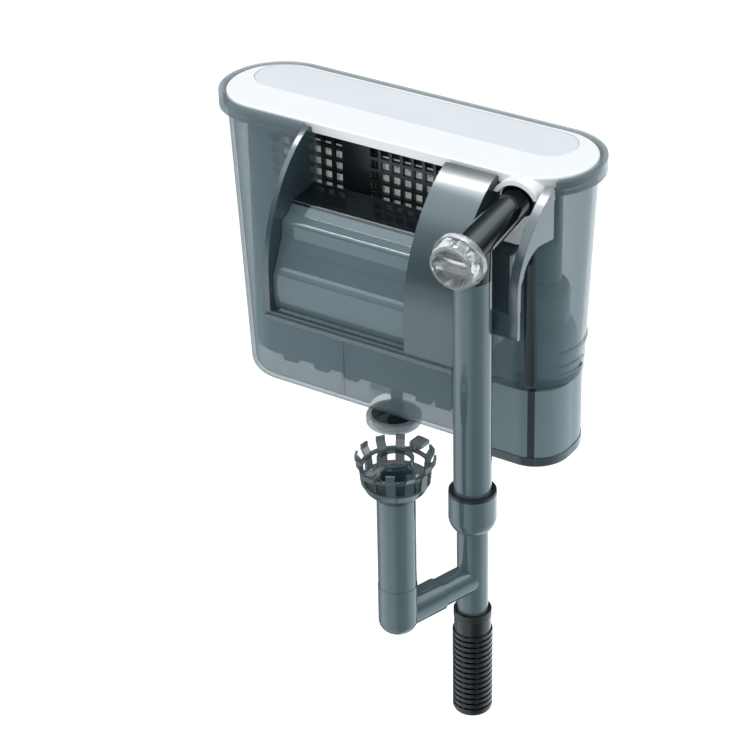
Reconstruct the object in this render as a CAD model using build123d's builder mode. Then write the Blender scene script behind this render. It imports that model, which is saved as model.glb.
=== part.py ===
# Hang on back aquarium filter.
# Millimetres, +Z up, +Y away from the tank. The origin is where the bridge rests on the
# middle of the tank glass's top edge, so heights below zero hang beside or inside the tank.
from build123d import *
from math import atan2, cos, degrees, hypot, radians, sin
import os

os.makedirs("parts", exist_ok=True)

# ---------------------------------------------------------------- driving dimensions
rim_top = 35.6            # case rim above the glass edge
case_mid_y = 30.0         # middle of the case behind the glass
rim_length, rim_depth, rim_drop, rim_wall = 200.0, 58.8, 7.0, 2.0
body_top_length, body_top_depth = 192.0, 50.8
body_base_length, body_base_depth = 178.0, 46.0
wall = 2.0                # wall of the moulded shells
fit = 0.1                 # radial clearance of a turning or sliding fit
gap = 0.3                 # clearance between pieces that come apart
tube_r = 8.75             # intake tube, 17.5 mm outside
tube_bore_r = 7.55
glass_max = 8.0           # thickest tank glass that the hook takes


def below_rim(drop):
    """Height of a point given as a distance below the rim."""
    return rim_top - drop


shelf_z = below_rim(5.0)          # the lid sits on this shelf
body_top_z = below_rim(rim_drop)
floor_z = below_rim(149.0)        # underside of the filter chamber
bay_x = 38.0                      # the pump bay starts here
bay_z = below_rim(109.4)           # underside of the pump bay
bay_floor = 2.0

pump_x, pump_y = 73.5, case_mid_y
arm_x = 73.5
arm_slope = 8.0                   # the intake arm falls towards the tank
arm_start_z = below_rim(11.9)     # arm axis above the glass line
drop_y = -35.2                    # axis of the vertical intake tube


def body_size(z, inset):
    """Length and depth of the tapered body at height z, less an inset all round."""
    share = (body_top_z - z) / (body_top_z - floor_z)
    length = body_top_length + (body_base_length - body_top_length) * share
    depth = body_top_depth + (body_base_depth - body_top_depth) * share
    return length - 2 * inset, depth - 2 * inset


def level(z):
    """Horizontal plane through the middle of the case."""
    return Plane((0, case_mid_y, z))


def block(low, high, mode=Mode.ADD):
    """Box between two corners."""
    middle = [(a + b) / 2 for a, b in zip(low, high)]
    size = [b - a for a, b in zip(low, high)]
    with Locations(tuple(middle)):
        Box(*size, mode=mode)


def rod(x, y, low, high, radius, mode=Mode.ADD):
    """Vertical cylinder."""
    with Locations((x, y, (low + high) / 2)):
        Cylinder(radius, high - low, mode=mode)


def along(plane, start, end, radius, end_radius=None, mode=Mode.ADD):
    """Round bar or cone along a plane's normal."""
    with BuildSketch(plane.offset(start)) as near_end:
        Circle(radius)
    if end_radius is None:
        extrude(near_end.sketch, amount=end - start, mode=mode)
        return
    with BuildSketch(plane.offset(end)) as far_end:
        Circle(end_radius)
    loft([near_end.sketch, far_end.sketch], mode=mode)


def save(builder, name):
    """Label a finished piece and write it."""
    builder.part.label = name
    export_step(builder.part, "parts/" + name + ".step")


# ---------------------------------------------------------------- filter case
floor_round = 7.0
window_left, window_right = -35.0, 36.0
window_sill = 4.4
hood_left, strip_right = -38.0, 91.0
arch_x, arch_z = 75.0, below_rim(12.0)    # arched collar of the lid, over the arm
pivot_x, pivot_y = -0.5, 17.5      # levelling wheel's pin under the chamber
boss_r, boss_top = 13.0, floor_z + 13.0
pin_r = 3.0
pump_hole_r = 13.0
front_wall_y = case_mid_y - body_top_depth / 2

arm_dir = (0, -cos(radians(arm_slope)), -sin(radians(arm_slope)))
arm_plane = Plane(origin=(arm_x, 0, arm_start_z), x_dir=(1, 0, 0), z_dir=arm_dir)

with BuildPart() as case_cavity:
    for z in (rim_top, floor_z + wall):
        with BuildSketch(level(z)):
            SlotOverall(*body_size(z, wall))
    loft()
    fillet(case_cavity.faces().sort_by(Axis.Z)[0].edges(), floor_round - wall)
    block((bay_x - wall, -10, floor_z - 5), (110, 70, bay_z + bay_floor), mode=Mode.SUBTRACT)
    block((bay_x - wall, -10, bay_z), (bay_x, 70, below_rim(12)), mode=Mode.SUBTRACT)
    rod(pivot_x, pivot_y, floor_z, boss_top, boss_r, mode=Mode.SUBTRACT)

with BuildPart() as grip_ribs:
    # a long rib round the pump end, with two short ones under it
    for drop in (92.6, 100.3, 104.8):
        with BuildSketch(level(below_rim(drop))):
            SlotOverall(*body_size(below_rim(drop), -0.7))
        extrude(amount=1.3)
    block((80, 16, -100), (110, 48, 0), mode=Mode.INTERSECT)
    block((80, 34, -100), (110, 50, below_rim(96)), mode=Mode.SUBTRACT)

with BuildPart() as front_rib:
    for z in (below_rim(83.5), floor_z + floor_round):
        with BuildSketch(level(z)):
            SlotOverall(*body_size(z, -0.6))
    loft()
    block((-24.6, -10, floor_z), (-23.4, front_wall_y + 6, 0), mode=Mode.INTERSECT)

with BuildPart() as filter_case:
    for z in (body_top_z, floor_z):
        with BuildSketch(level(z)):
            SlotOverall(*body_size(z, 0))
    loft()
    fillet(filter_case.faces().sort_by(Axis.Z)[0].edges(), floor_round)
    block((bay_x, -10, floor_z - 5), (110, 70, bay_z), mode=Mode.SUBTRACT)
    with BuildSketch(level(body_top_z)):
        SlotOverall(rim_length, rim_depth)
    extrude(amount=rim_drop)
    with BuildSketch(level(shelf_z)):
        SlotOverall(rim_length - 2 * rim_wall, rim_depth - 2 * rim_wall)
    extrude(amount=rim_top - shelf_z + 1, mode=Mode.SUBTRACT)
    add(grip_ribs.part)
    add(front_rib.part)
    add(case_cavity.part, mode=Mode.SUBTRACT)
    # the rim stops where the hood takes over
    block((hood_left, -2, body_top_z - 1), (strip_right, front_wall_y, rim_top + 1), mode=Mode.SUBTRACT)
    block((arch_x - 16, -2, shelf_z), (strip_right - 1, 11.0, rim_top + 1), mode=Mode.SUBTRACT)
    # waterfall window
    block((window_left, -5, window_sill), (window_right, 14, rim_top + 1), mode=Mode.SUBTRACT)
    # way through the partition for pumped water
    block((bay_x - 6, 18, bay_z + 5), (bay_x + 2, 42, bay_z + 17), mode=Mode.SUBTRACT)
    # pump opening in the bay floor, and the levelling pin's hole
    rod(pump_x, pump_y, bay_z - 1, bay_z + bay_floor + 1, pump_hole_r, mode=Mode.SUBTRACT)
    rod(pivot_x, pivot_y, floor_z - 1, boss_top - 3, pin_r, mode=Mode.SUBTRACT)
    # hole for the intake arm
    along(arm_plane, -9, 2, 8.4, mode=Mode.SUBTRACT)
save(filter_case, "filter_case")

# ---------------------------------------------------------------- outlet hood
panel_left, panel_right = 37.5, 63.5
cheek = 2.6
sheet = 2.4
hood_low = below_rim(82)
plate_right = 75.5                 # the hook plate stops short of the strip
hook_y = -4.0                      # face that bears on the inside of the glass
bridge_top = 1.6
weld_y = front_wall_y + 0.3        # the hood is welded a little into the case wall
lid_clear_y = 3.8
hood_outline = [(1.7, 0.5), (-13.5, 10.5), (-26.0, 27.0), (-33.0, 44.5), (-35.0, 60.0)]
strip_outline = [(5.0, 1.5), (-8.5, 10.2), (-16.5, 18.5), (-22.3, 26.5), (-25.6, 34.5), (-26.4, 46.0), (-26.4, 61.0)]
strip_low, band_high = below_rim(63), below_rim(51.3)


def to_heights(outline):
    return [(y, below_rim(drop)) for y, drop in outline]


def inset_outline(points, depth):
    """Shift each point square to the curve, towards the case."""
    moved = []
    for i, (y, z) in enumerate(points):
        ahead, behind = points[min(i + 1, len(points) - 1)], points[max(i - 1, 0)]
        dy, dz = ahead[0] - behind[0], ahead[1] - behind[1]
        run = hypot(dy, dz)
        moved.append((y - depth * dz / run, z + depth * dy / run))
    return moved


def hood_slice(outline, left, right, rear, mode=Mode.ADD):
    """Extrude the region between a curved front and the rear points."""
    with BuildSketch(Plane.YZ.offset(left)) as side:
        with BuildLine():
            Spline(*outline)
            Polyline(outline[-1], *rear, outline[0])
        make_face()
    extrude(side.sketch, amount=right - left, mode=mode)


hood_front = to_heights(hood_outline)
hood_inner = inset_outline(hood_front, sheet)
strip_front = to_heights(strip_outline)
strip_inner = inset_outline(strip_front, 2.2)
hood_rear = [(-35.0, hood_low), (hook_y, hood_low), (hook_y, 0), (weld_y, 0),
             (weld_y, 28.6), (lid_clear_y, 28.6), (lid_clear_y, below_rim(2.0))]
hood_room = [(-32.6, hood_low - 1), (hook_y - sheet, hood_low - 1), (hook_y - sheet, bridge_top),
             (12, bridge_top), (12, below_rim(3.0))]
strip_left = 86.5

with BuildPart() as outlet_hood:
    hood_slice(hood_front, hood_left, panel_right, hood_rear)
    hood_slice(hood_inner, hood_left + cheek, panel_left, hood_room, mode=Mode.SUBTRACT)
    hood_slice(hood_inner, panel_left + cheek, panel_right - cheek, hood_room, mode=Mode.SUBTRACT)
    # waterfall window through the front, above a bottom bar
    block((hood_left + cheek, -40, hood_low + 2.4), (panel_left, hook_y - sheet - 0.1, 40), mode=Mode.SUBTRACT)
    block((hood_left + cheek, hook_y - sheet - 1, bridge_top), (panel_left, 12, 40), mode=Mode.SUBTRACT)
    # bottom flange under the window and panel
    block((hood_left, -36.2, hood_low - 1.2), (panel_right, -30.5, hood_low + 1.0))
    # bridge and hook plate behind the intake tube
    block((panel_right - 1, hook_y - sheet, 0), (plate_right, weld_y, bridge_top))
    block((panel_right - 1, hook_y - sheet, below_rim(73.5)), (plate_right, hook_y, 1))
    # strip on the far side of the tube slot, with a web back to the case above a curved edge
    with BuildSketch(Plane.YZ.offset(strip_left)) as strip_side:
        with BuildLine():
            Spline(*strip_front)
            Polyline(strip_front[-1], (-26.4, strip_low), (-24.2, strip_low), (-24.2, -5.0), (-22.9, 1.0), (-20.5, 4.5))
            ThreePointArc((-20.5, 4.5), (-15.0, 9.5), (-8.0, 11.5))
            Polyline((-8.0, 11.5), (weld_y, 9.4), (weld_y, 28.2), (6.0, 28.2), strip_front[0])
        make_face()
    extrude(strip_side.sketch, amount=strip_right - strip_left)
    hood_slice(strip_inner, strip_left - 1, strip_right - 2.2, [(-24.2, below_rim(64)), (20, below_rim(64)), (20, 26)],
               mode=Mode.SUBTRACT)
    # band that ties the strip to the panel under the slot
    block((panel_right - 1, -25.8, strip_low), (strip_right, -24.0, band_high))
save(outlet_hood, "outlet_hood")

# ---------------------------------------------------------------- spillway
spill_thick = (1.6, -1.3)
spill_top = [(4.95, 4.3), (-12.3, 2.7), (-17.4, -1.3), (-21.9, -3.4), (-22.3, -10.1), (-24.2, -14.1),
             (-28.4, -23.2), (-30.2, -26.1), (-30.6, -36.3), (-29.6, -43.4)]
spill_back = [(y + spill_thick[0], z + spill_thick[1]) for y, z in reversed(spill_top[1:])]

with BuildPart() as spillway:
    with BuildSketch(Plane.YZ.offset(hood_left + cheek + 0.2)):
        with BuildLine():
            Polyline(*spill_top, *spill_back[:-1], (-8.0, bridge_top + 0.05), (4.95, bridge_top + 0.05), close=True)
        make_face()
    extrude(amount=panel_left - hood_left - cheek - 0.4)
save(spillway, "spillway")

# ---------------------------------------------------------------- lid
lid_length, lid_depth = 192.6, 51.4
lid_low = shelf_z + gap
lid_high = rim_top + 0.4
arch_inner, arch_outer = 10.2, 12.4
arch_front_y, arch_rear_y = -1.1, 12.0
panel_mid = (-4.0, case_mid_y + 10.0)
panel_length, panel_depth, panel_sink = 172.0, 27.0, 0.8

with BuildPart() as lid:
    with BuildSketch(level(lid_low)):
        SlotOverall(lid_length, lid_depth)
    extrude(amount=lid_high - lid_low)
    fillet(lid.faces().sort_by(Axis.Z)[-1].edges(), 1.0)
    with BuildSketch(level(lid_low)):
        SlotOverall(lid_length - 4.4, lid_depth - 4.4)
    extrude(amount=lid_high - lid_low - 2.2, mode=Mode.SUBTRACT)
    with BuildSketch(Plane((*panel_mid, lid_high - panel_sink))):
        SlotOverall(panel_length, panel_depth)
    extrude(amount=2, mode=Mode.SUBTRACT)
    # arched collar over the intake arm
    with BuildSketch(Plane.XZ.offset(-arch_rear_y)):
        with Locations((arch_x, arch_z)):
            Circle(arch_outer)
            Circle(arch_inner, mode=Mode.SUBTRACT)
        with Locations((arch_x, arch_z - 14 + 5.0)):
            Rectangle(40, 28, mode=Mode.SUBTRACT)
    extrude(amount=arch_rear_y - arch_front_y)
    block((arch_x - 20, front_wall_y - 0.4, 0), (arch_x + 20, arch_rear_y + 1, lid_low), mode=Mode.SUBTRACT)
    along(arm_plane, -9.5, -1, 8.75, mode=Mode.SUBTRACT)
save(lid, "lid")

with BuildPart() as lid_panel:
    with BuildSketch(Plane((*panel_mid, lid_high - panel_sink))):
        SlotOverall(panel_length - 0.5, panel_depth - 0.5)
    extrude(amount=panel_sink - 0.15)
    fillet(lid_panel.faces().sort_by(Axis.Z)[-1].edges(), 0.3)
save(lid_panel, "lid_panel")

# ---------------------------------------------------------------- media basket and cartridges
basket_r, basket_end_x, basket_right = 20.6, -65.6, 35.0
basket_low, basket_high = below_rim(132.6), 29.0
basket_wall = 1.8
cell_x, cell_z = 5.9, 5.8
cell_open_x, cell_open_z = 4.3, 4.2
row_mid_z = below_rim(21.6)
rows = 5
basket_front = case_mid_y - basket_r

with BuildPart() as media_basket:
    for low, inset, mode in ((basket_low, 0, Mode.ADD), (basket_low + basket_wall, basket_wall, Mode.SUBTRACT)):
        with BuildSketch(level(low)):
            with Locations((basket_end_x, 0)):
                Circle(basket_r - inset)
            with Locations(((basket_end_x + basket_right - inset) / 2, 0)):
                Rectangle(basket_right - inset - basket_end_x, 2 * (basket_r - inset))
        extrude(amount=basket_high - low, mode=mode)
    # lattice in the front wall, either side of the pillar
    for mid_x, columns in ((-42.8, 7), (12.2, 7)):
        with BuildSketch(Plane.XZ.offset(-basket_front - 3)):
            with Locations((mid_x, row_mid_z)):
                with GridLocations(cell_x, cell_z, columns, rows):
                    Rectangle(cell_open_x, cell_open_z)
        extrude(amount=6, mode=Mode.SUBTRACT)
    # inlet slots in the floor, outlet slots low in the right wall
    with BuildSketch(Plane.XY.offset(basket_low - 1)):
        with Locations((-25, case_mid_y)):
            with GridLocations(8, 0, 11, 1):
                Rectangle(4, 26)
    extrude(amount=5, mode=Mode.SUBTRACT)
    block((basket_right - 4, 20, bay_z + 7), (basket_right + 2, 40, bay_z + 15), mode=Mode.SUBTRACT)
    # feet
    for x in (-56, -38, -21, 20, 31):
        for y in (basket_front + 1.6, case_mid_y + basket_r - 1.6):
            block((x - 5, y - 1.4, basket_low - 2.8), (x + 3, y + 1.4, basket_low + 0.5))
save(media_basket, "media_basket")

pillar_x, pillar_width = -15.9, 11.0
with BuildPart() as centre_guide:
    block((pillar_x - pillar_width / 2, basket_front + 2.6, basket_low + 2.2),
          (pillar_x + pillar_width / 2, basket_front + 4.2, basket_high - 0.5))
    with Locations(*[(pillar_x + x, basket_front + 7.8, (basket_low + basket_high) / 2 + 0.8) for x in (-4.7, -1.6, 1.6, 4.7)]):
        Box(1.4, 7.8, basket_high - basket_low - 2.8)
save(centre_guide, "centre_guide")

pad_width, pad_height, pad_thick = 42.6, 101.6, 8.0
pad_top = below_rim(12.0)
pad_front = basket_front + 4.1
frame_rail = 2.2
bar_rise = 3.6
cartridge_x = {"left": -43.3, "right": 11.5}

for side, mid_x in cartridge_x.items():
    left, right = mid_x - pad_width / 2, mid_x + pad_width / 2
    rear = pad_front + pad_thick
    foot = basket_low + basket_wall + gap
    with BuildPart() as frame:
        block((left, pad_front - 1.0, foot), (right, rear + 1.0, pad_top))
        block((left + frame_rail, pad_front - 2, foot + frame_rail), (right - frame_rail, rear + 2, pad_top + 1),
              mode=Mode.SUBTRACT)
        block((left + 1.0, pad_front, pad_top - pad_height), (right - 1.0, rear, pad_top + 1), mode=Mode.SUBTRACT)
        for z in (pad_top - 34, pad_top - 68):
            block((left + 1, rear, z), (right - 1, rear + 1.0, z + 2))
        with BuildSketch(Plane.XY.offset(pad_top - pad_height - 2)):
            with Locations((mid_x, (pad_front + rear) / 2)):
                Rectangle(pad_width - 2, pad_thick)
        extrude(amount=2)
    save(frame, "cartridge_frame_" + side)

    with BuildPart() as pad:
        block((left + 1.2, pad_front + 0.2, pad_top - pad_height + 0.1), (right - 1.2, rear - 0.2, pad_top - 0.1))
        fillet(pad.edges().filter_by(Axis.Z), 1.5)
    save(pad, "filter_pad_" + side)

    with BuildPart() as bar:
        with BuildSketch(Plane.XZ.offset(-rear - 0.9)):
            with BuildLine():
                ThreePointArc((left, pad_top + 1.2), (mid_x, pad_top + 1.2 + bar_rise), (right, pad_top + 1.2))
                Polyline((left, pad_top + 1.2), (left, pad_top), (right, pad_top), (right, pad_top + 1.2))
            make_face()
        extrude(amount=pad_thick + 1.8)
    save(bar, "cartridge_bar_" + side)

# ---------------------------------------------------------------- intake arm and regulator
arm_rear, arm_shoulder, arm_front = -19.0, -8.0, 43.9
arm_rear_r, arm_front_r = 6.8, 8.3
arm_spigot_r = 5.6
arm_bore_r, valve_bore_r = 4.4, 6.6
valve_start = 24.0
spigot_low = below_rim(31.5)
drop_along = -drop_y / cos(radians(arm_slope))
elbow_z = arm_start_z - drop_along * sin(radians(arm_slope))

with BuildPart() as intake_arm:
    along(arm_plane, arm_shoulder, arm_front, arm_rear_r, arm_front_r)
    along(arm_plane, arm_rear, arm_shoulder, arm_spigot_r)
    rod(arm_x, drop_y, spigot_low, elbow_z, tube_r)
    along(arm_plane, arm_front, arm_front + 8, 20, mode=Mode.SUBTRACT)
    rod(arm_x, drop_y, spigot_low - 1, elbow_z - 1.5, 6.2, mode=Mode.SUBTRACT)
    along(arm_plane, arm_rear - 1, valve_start, arm_bore_r, mode=Mode.SUBTRACT)
    along(arm_plane, valve_start, arm_front + 1, valve_bore_r, mode=Mode.SUBTRACT)
save(intake_arm, "intake_arm")

with BuildPart() as arm_seal:
    along(arm_plane, -6.8, -3.6, 8.3)
    along(arm_plane, arm_shoulder, arm_front, arm_rear_r + 0.03, arm_front_r + 0.03, mode=Mode.SUBTRACT)
save(arm_seal, "arm_seal")

valve_r = valve_bore_r - fit
with BuildPart() as flow_valve:
    along(arm_plane, valve_start + 0.5, arm_front + 0.1, valve_r)
    along(arm_plane, valve_start, arm_front - 2.2, valve_r - 1.3, mode=Mode.SUBTRACT)
    # the port over the drop tube, open at rest
    rod(arm_x, drop_y, elbow_z - 12, elbow_z, 4.8, mode=Mode.SUBTRACT)
save(flow_valve, "flow_valve")

knob_r, knob_start, knob_end = 12.6, arm_front + 0.6, arm_front + 9.8
with BuildPart() as flow_knob:
    along(arm_plane, knob_start, knob_start + 3.4, knob_r)
    along(arm_plane, knob_start + 3.4, knob_end, knob_r - 0.4, 10.6)
    # dished front with a raised finger bar
    along(arm_plane, knob_end - 4.2, knob_end + 1, 7.2, 9.6, mode=Mode.SUBTRACT)
    with BuildSketch(arm_plane.offset(knob_start + 3.4)):
        with PolarLocations(knob_r + 0.6, 9, start_angle=10):
            Circle(2.3)
    extrude(amount=20, mode=Mode.SUBTRACT)
    with BuildSketch(arm_plane.offset(knob_end - 5)):
        SlotOverall(17.5, 3.6)
    extrude(amount=5)
    along(arm_plane, knob_start - 1, knob_start + 2.6, 3.1, mode=Mode.SUBTRACT)
save(flow_knob, "flow_knob")

with BuildPart() as valve_stem:
    along(arm_plane, arm_front + 0.1, knob_start + 2.6, 3.0)
save(valve_stem, "valve_stem")

# ---------------------------------------------------------------- drop tube and telescope
upper_tube_low = below_rim(156)
collar_top, collar_step, collar_low = below_rim(142), below_rim(153.5), below_rim(160.4)
collar_r, collar_seat_r = 11.1, 9.9
lower_tube_r, lower_bore_r = 7.3, 6.2
lower_tube_top, lower_tube_low = below_rim(112), below_rim(214)
branch_z = below_rim(188.4)
branch_r, branch_bore_r = 6.9, 5.8
skim_x, skim_y = 60.5, -79.0


with BuildPart() as intake_tube:
    rod(arm_x, drop_y, upper_tube_low, spigot_low, tube_r)
    rod(arm_x, drop_y, upper_tube_low - 1, spigot_low + 1, tube_bore_r, mode=Mode.SUBTRACT)
save(intake_tube, "intake_tube")

with BuildPart() as telescope_collar:
    with BuildSketch(Plane.XZ.offset(-drop_y)):
        with BuildLine():
            Polyline((arm_x + tube_r + fit, upper_tube_low - 0.5), (arm_x + tube_r + fit, collar_top - 2.6),
                     (arm_x + collar_seat_r, collar_top - 2.6), (arm_x + collar_seat_r, collar_top),
                     (arm_x + collar_r, collar_top),
                     (arm_x + collar_r, collar_step))
            ThreePointArc((arm_x + collar_r, collar_step), (arm_x + 10.5, collar_step - 4.2),
                          (arm_x + 8.9, collar_low))
            Polyline((arm_x + 8.9, collar_low), (arm_x + lower_tube_r + fit, collar_low),
                     (arm_x + lower_tube_r + fit, upper_tube_low - 0.5),
                     (arm_x + tube_r + fit, upper_tube_low - 0.5))
        make_face()
    revolve(axis=Axis((arm_x, drop_y, 0), (0, 0, 1)))
save(telescope_collar, "telescope_collar")

with BuildPart() as collar_seal:
    rod(arm_x, drop_y, collar_top - 2.5, collar_top, collar_seat_r - 0.05)
    rod(arm_x, drop_y, collar_top, collar_top + 1.4, collar_r - 0.1)
    rod(arm_x, drop_y, collar_top - 3, collar_top + 2, tube_r + fit, mode=Mode.SUBTRACT)
save(collar_seal, "collar_seal")

branch_run = hypot(skim_x - arm_x, skim_y - drop_y)
branch_dir = ((skim_x - arm_x) / branch_run, (skim_y - drop_y) / branch_run, 0)
branch_plane = Plane(origin=(arm_x, drop_y, branch_z), x_dir=(0, 0, 1), z_dir=branch_dir)
branch_end = 34.0

with BuildPart() as telescope_tube:
    rod(arm_x, drop_y, lower_tube_low, lower_tube_top, lower_tube_r)
    along(branch_plane, 0, branch_end, branch_r)
    rod(arm_x, drop_y, lower_tube_low - 1, lower_tube_top + 1, lower_bore_r, mode=Mode.SUBTRACT)
    along(branch_plane, 2, branch_end + 1, branch_bore_r, mode=Mode.SUBTRACT)
save(telescope_tube, "telescope_tube")

# ---------------------------------------------------------------- strainer
seal_top, neck_top, rib_top = below_rim(206.3), below_rim(209.8), below_rim(217.8)
strainer_low = below_rim(263.7)
rib_count = 15
rib_r, strainer_neck_r = 9.4, 8.7
rib_pitch = (rib_top - strainer_low - 1.0) / rib_count
neck_bore_r = lower_tube_r + fit

with BuildPart() as strainer_seal:
    rod(arm_x, drop_y, neck_top, seal_top, strainer_neck_r + 0.2)
    rod(arm_x, drop_y, neck_top - 1, seal_top + 1, neck_bore_r, mode=Mode.SUBTRACT)
save(strainer_seal, "strainer_seal")

with BuildPart() as strainer:
    rod(arm_x, drop_y, rib_top, neck_top, strainer_neck_r)
    for i in range(rib_count):
        ring_top = rib_top - i * rib_pitch
        rod(arm_x, drop_y, ring_top - 1.8, ring_top, rib_r)
    rod(arm_x, drop_y, strainer_low + 2.0, neck_top + 1, neck_bore_r, mode=Mode.SUBTRACT)
    with Locations((arm_x, drop_y, (strainer_low + 2.0 + rib_top) / 2)):
        with PolarLocations(rib_r - 1.2, 8):
            Box(1.2, 1.6, rib_top - strainer_low - 2.0)
    rod(arm_x, drop_y, strainer_low + 2.0, strainer_low + 3.2, rib_r)
save(strainer, "strainer")

with BuildPart() as strainer_cap:
    rod(arm_x, drop_y, strainer_low, strainer_low + 2.0, rib_r - 0.3)
    fillet(strainer_cap.faces().sort_by(Axis.Z)[0].edges(), 1.6)
save(strainer_cap, "strainer_cap")

# ---------------------------------------------------------------- surface skimmer
elbow_r, elbow_bore_r = 8.95, 6.4
elbow_top, elbow_low = below_rim(171.0), below_rim(196.2)
sleeve_r = 7.75
sleeve_start = 22.0
skim_tube_top = below_rim(113)

with BuildPart() as skimmer_elbow:
    rod(skim_x, skim_y, elbow_low, elbow_top, elbow_r)
    fillet(skimmer_elbow.faces().sort_by(Axis.Z)[0].edges(), 6.0)
    along(branch_plane, sleeve_start, branch_run, sleeve_r)
    along(branch_plane, sleeve_start - 1, branch_run, branch_r + fit, mode=Mode.SUBTRACT)
    rod(skim_x, skim_y, elbow_low + 2.2, elbow_top + 1, elbow_bore_r, mode=Mode.SUBTRACT)
save(skimmer_elbow, "skimmer_elbow")

with BuildPart() as skimmer_tube:
    rod(skim_x, skim_y, elbow_top, skim_tube_top, tube_r)
    rod(skim_x, skim_y, elbow_top - 1, skim_tube_top + 1, tube_bore_r, mode=Mode.SUBTRACT)
save(skimmer_tube, "skimmer_tube")

cup_low, cup_edge = below_rim(123.6), below_rim(115.2)
hoop_z = below_rim(108.6)          # hoop that ties the fingers together
tip_z = below_rim(103.1)
arm_angle = 85.0
places = 12
finger_places = [k for k in range(places) if k not in (0, places // 2)]
finger_width = 4.1

with BuildPart() as one_finger:
    with BuildSketch(Plane.XZ.offset(-finger_width / 2)):
        Polygon((14.2, cup_edge - 0.5), (15.5, cup_edge - 0.5), (16.1, hoop_z), (17.9, tip_z - 2.4), (17.9, tip_z),
                (16.8, tip_z), (16.8, tip_z - 2.2), (15.0, hoop_z + 0.6), (14.2, cup_edge + 0.5), align=None)
    extrude(amount=finger_width)

with BuildPart() as skimmer_basket:
    with Locations((skim_x, skim_y, 0)):
        # shallow cup on the tube
        with BuildSketch(Plane.XZ.offset(-skim_y)) as cup:
            with BuildLine():
                Polyline((skim_x + tube_r + fit, cup_low), (skim_x + 9.7, cup_low), (skim_x + 13.6, cup_low + 4.2),
                         (skim_x + 15.5, cup_edge - 0.6), (skim_x + 15.5, cup_edge), (skim_x + 14.2, cup_edge),
                         (skim_x + 14.2, cup_edge - 0.4), (skim_x + 12.8, cup_low + 5.2),
                         (skim_x + tube_r + fit, cup_low + 2.2), (skim_x + tube_r + fit, cup_low))
            make_face()
        revolve(cup.sketch, axis=Axis((skim_x, skim_y, 0), (0, 0, 1)))
        with Locations((0, 0, hoop_z)):
            Cylinder(15.7, 1.6)
            Cylinder(14.3, 1.6, mode=Mode.SUBTRACT)
        for k in finger_places:
            with Locations(Rotation(0, 0, arm_angle + 360 / places * k)):
                add(one_finger.part)
save(skimmer_basket, "skimmer_basket")

float_z = below_rim(105.3)         # middle of the floating ring
tab_mid, tab_long, tab_wide = 17.5, 6.2, 6.4
with BuildPart() as skimmer_ring:
    with Locations((skim_x, skim_y, 0)):
        with Locations((0, 0, float_z)):
            Cylinder(8.3, 2.4)
            Cylinder(6.9, 2.4, mode=Mode.SUBTRACT)
        for turn in (arm_angle, arm_angle + 180):
            with Locations(Rotation(0, 0, turn)):
                with Locations((11.5, 0, float_z)):
                    Box(7.4, 2.6, 1.4)
                with Locations((14.9, 0, (float_z + hoop_z + 0.8) / 2)):
                    Box(1.4, 3.6, float_z - hoop_z - 1.4)
                with Locations((tab_mid, 0, float_z)):
                    Box(tab_long, tab_wide, 2.0)
                with Locations((tab_mid + 0.4, 0, float_z + 1.4)):
                    Box(tab_long - 2.4, tab_wide - 2.4, 0.8)
save(skimmer_ring, "skimmer_ring")

# ---------------------------------------------------------------- pump
cover_low = bay_z + bay_floor
cover_steps = [(7.3, below_rim(61.5)), (11.4, below_rim(67.5)), (11.4, below_rim(82)), (15.2, below_rim(90))]
cover_wall = 1.7

with BuildPart() as impeller_cover:
    with BuildSketch(Plane.XZ.offset(-pump_y)):
        with BuildLine():
            Polyline((pump_x, cover_low), (pump_x + 15.2, cover_low), (pump_x + 15.2, cover_steps[3][1]))
            ThreePointArc((pump_x + 15.2, cover_steps[3][1]), (pump_x + 13.9, cover_steps[3][1] + 4.4),
                          (pump_x + 11.4, cover_steps[2][1]))
            Line((pump_x + 11.4, cover_steps[2][1]), (pump_x + 11.4, cover_steps[1][1]))
            ThreePointArc((pump_x + 11.4, cover_steps[1][1]), (pump_x + 10.3, cover_steps[1][1] + 3.4),
                          (pump_x + 7.3, cover_steps[0][1]))
            Polyline((pump_x + 7.3, cover_steps[0][1]), (pump_x, cover_steps[0][1]), (pump_x, cover_low))
        make_face()
    revolve(axis=Axis((pump_x, pump_y, 0), (0, 0, 1)))
    rod(pump_x, pump_y, cover_low - 1, cover_steps[3][1] - 0.5, 15.2 - cover_wall, mode=Mode.SUBTRACT)
    rod(pump_x, pump_y, cover_low, cover_steps[1][1] - 0.5, 11.4 - cover_wall, mode=Mode.SUBTRACT)
    rod(pump_x, pump_y, cover_low, rim_top, 5.6, mode=Mode.SUBTRACT)
    # outlet towards the filter chamber
    block((pump_x - 20, pump_y - 6, cover_low + 2.4), (pump_x - 10, pump_y + 6, cover_low + 11), mode=Mode.SUBTRACT)
    # spider that holds the upper bush
    with Locations((pump_x, pump_y, cover_steps[2][1] + 4)):
        for turn in (0, 60, 120):
            with Locations(Rotation(0, 0, turn)):
                Box(20.4, 1.4, 3.0)
    rod(pump_x, pump_y, cover_steps[2][1], cover_steps[2][1] + 8, 3.4, mode=Mode.SUBTRACT)
save(impeller_cover, "impeller_cover")

shaft_r = 1.5
bush_z = cover_steps[2][1] + 2.5
with BuildPart() as upper_bush:
    rod(pump_x, pump_y, bush_z, bush_z + 3.0, 3.4)
    rod(pump_x, pump_y, bush_z - 1, bush_z + 4, shaft_r + fit, mode=Mode.SUBTRACT)
save(upper_bush, "upper_bush")

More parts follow.
